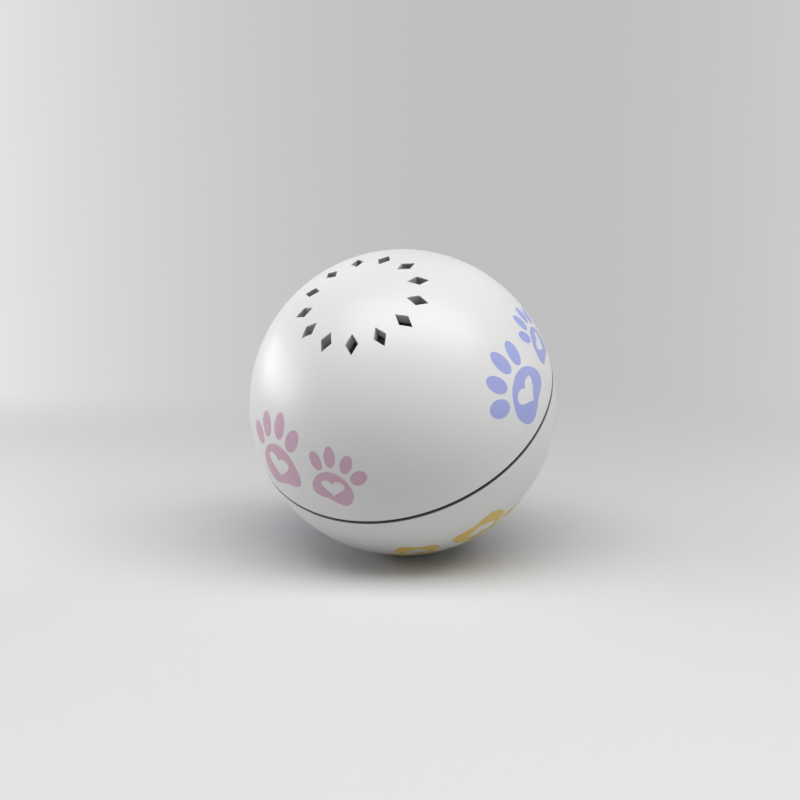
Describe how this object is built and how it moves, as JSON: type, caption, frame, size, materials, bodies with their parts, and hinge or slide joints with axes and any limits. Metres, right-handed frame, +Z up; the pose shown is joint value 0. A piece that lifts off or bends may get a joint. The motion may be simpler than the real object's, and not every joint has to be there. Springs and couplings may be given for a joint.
{
  "type": "interactive cat ball",
  "caption": "White self-rolling cat toy ball with a vented catnip cup, twist-off half, pastel paw prints and a geared battery drive pod hanging inside.",
  "frame": {"origin": "centre of the ball", "axes": "+Z up as the ball lies on the floor, +X along the axles to the gear side, the pole of the vented half leaning toward -Y"},
  "size_m": [0.075, 0.075, 0.075],
  "materials": {
    "white_shell": "satin gloss moulded plastic with printed paw marks",
    "seal": "matt silicone",
    "screen": "matt dark mesh sheet",
    "cup": "matt dark plastic",
    "steel": "machined",
    "brass": "machined",
    "pod": "fine textured plastic",
    "gear": "natural acetal",
    "plate": "stamped sheet",
    "endcap": "moulded nylon",
    "cell": "shrink sleeve over a metal can",
    "red_wire": "soft insulation",
    "blue_wire": "soft insulation",
    "board": "solder mask",
    "chip": "moulded epoxy",
    "button": "satin",
    "lens": "clear light guide"
  },
  "bodies": {
    "drive_unit": {"pod_base": "pod", "pod_cover": "pod", "pod_screws": "steel", "axle_bushes": "brass", "gear_plate": "plate", "gear_pins": "steel", "motor_can": "steel", "motor_endcap": "endcap", "motor_terminals": "brass", "motor_screws": "steel", "battery_cell": "cell", "battery_leads": "red_wire", "motor_leads": "blue_wire", "ballast": "steel", "control_board": "board", "board_chips": "chip", "board_screws": "steel", "usb_socket": "steel", "tact_switch": "chip", "status_lens": "lens"},
    "lower_half": {"lower_shell": "white_shell", "drive_axle": "steel", "idle_axle": "steel", "output_gear": "gear", "axle_keepers": "pod", "keeper_screws": "steel"},
    "seal_ring": {"seam_seal": "seal"},
    "upper_half": {"upper_shell": "white_shell", "vent_screen": "screen"},
    "cup": {"catnip_cup": "cup"},
    "button": {"power_button": "button", "switch_plunger": "chip"},
    "layshaft_gear": {"second_gear": "gear"},
    "idler_gear": {"first_gear": "gear"},
    "rotor": {"motor_rotor": "steel", "motor_pinion": "brass"}
  },
  "joints": [
    {"name": "shell_roll", "type": "hinge", "parent": "drive_unit", "child": "lower_half", "pos_m": [0, 0, 0], "axis": [1, 0, 0], "continuous": true},
    {"name": "lift", "type": "slide", "parent": "lower_half", "child": "seal_ring", "axis": [0, -0.6018, 0.7986], "range_m": [0, 0.06]},
    {"name": "twist", "type": "hinge", "parent": "seal_ring", "child": "upper_half", "pos_m": [0, 0, 0], "axis": [0, -0.6018, 0.7986], "range_deg": [0, 25]},
    {"name": "cup_twist", "type": "hinge", "parent": "upper_half", "child": "cup", "pos_m": [0, 0, 0], "axis": [0, -0.6018, 0.7986], "range_deg": [0, 35]},
    {"name": "button_press", "type": "slide", "parent": "drive_unit", "child": "button", "axis": [0, 0, -1], "range_m": [0, 0.0005], "stiffness_N_per_m": 2000},
    {"name": "second_gear_turn", "type": "hinge", "parent": "drive_unit", "child": "layshaft_gear", "pos_m": [0, 0, 0.0084], "axis": [1, 0, 0], "continuous": true},
    {"name": "first_gear_turn", "type": "hinge", "parent": "drive_unit", "child": "idler_gear", "pos_m": [0, 0, 0], "axis": [1, 0, 0], "continuous": true},
    {"name": "motor_turn", "type": "hinge", "parent": "drive_unit", "child": "rotor", "pos_m": [0, 0, -0.0084], "axis": [1, 0, 0], "continuous": true}
  ],
  "couplings": [
    {"joint": "second_gear_turn", "follows": "shell_roll", "ratio": -3.2},
    {"joint": "first_gear_turn", "follows": "shell_roll", "ratio": 10.24},
    {"joint": "motor_turn", "follows": "shell_roll", "ratio": -32.768}
  ]
}
